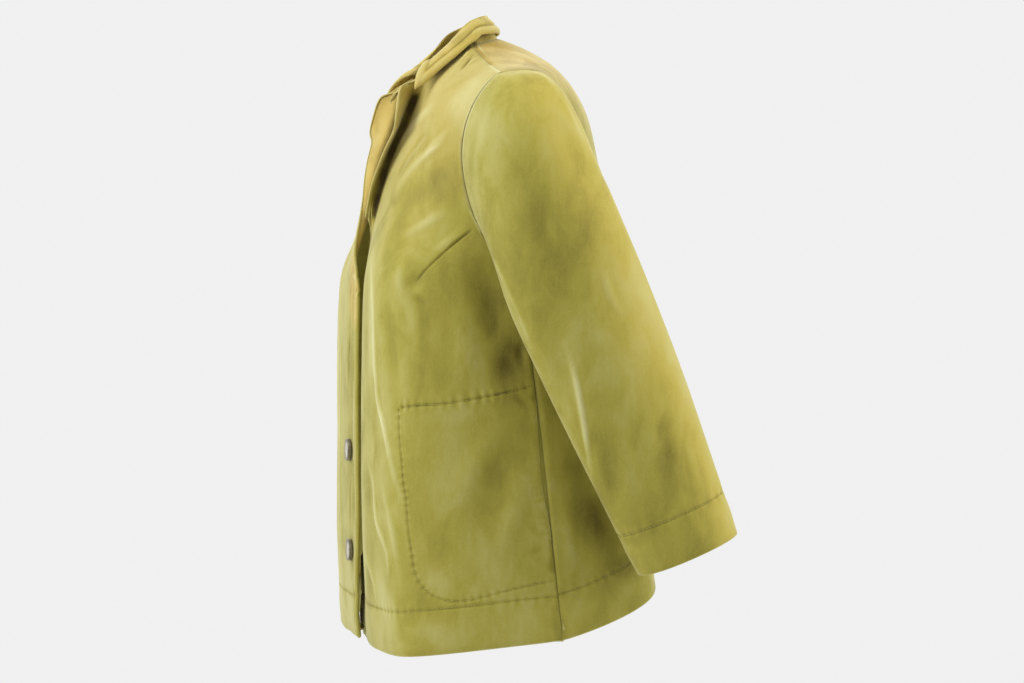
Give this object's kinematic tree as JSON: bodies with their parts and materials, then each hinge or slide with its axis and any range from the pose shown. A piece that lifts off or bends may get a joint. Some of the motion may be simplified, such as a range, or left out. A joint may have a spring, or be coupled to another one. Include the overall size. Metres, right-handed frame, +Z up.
{
  "type": "velvet jacket",
  "caption": "Hip-length velvet jacket with notched collar, bracelet sleeves, side-seam pockets and round dished buttons.",
  "frame": {"origin": "middle of the neck base, level with the neck ends of the shoulder seams, where the wearer's shoulders hold the jacket", "axes": "+Z up, +X to the wearer's left, -Y to the front"},
  "size_m": [0.578, 0.3209, 0.6163],
  "materials": {
    "velvet": "silky pile velvet with a pale sheen",
    "horn": "polished horn with a pearly middle"
  },
  "bodies": {
    "root": {"front_left": "velvet", "front_right": "velvet", "back": "velvet", "sleeve_left": "velvet", "sleeve_right": "velvet", "collar": "velvet", "pocket_left": "velvet", "pocket_right": "velvet", "button_1": "horn", "button_2": "horn"}
  },
  "joints": []
}
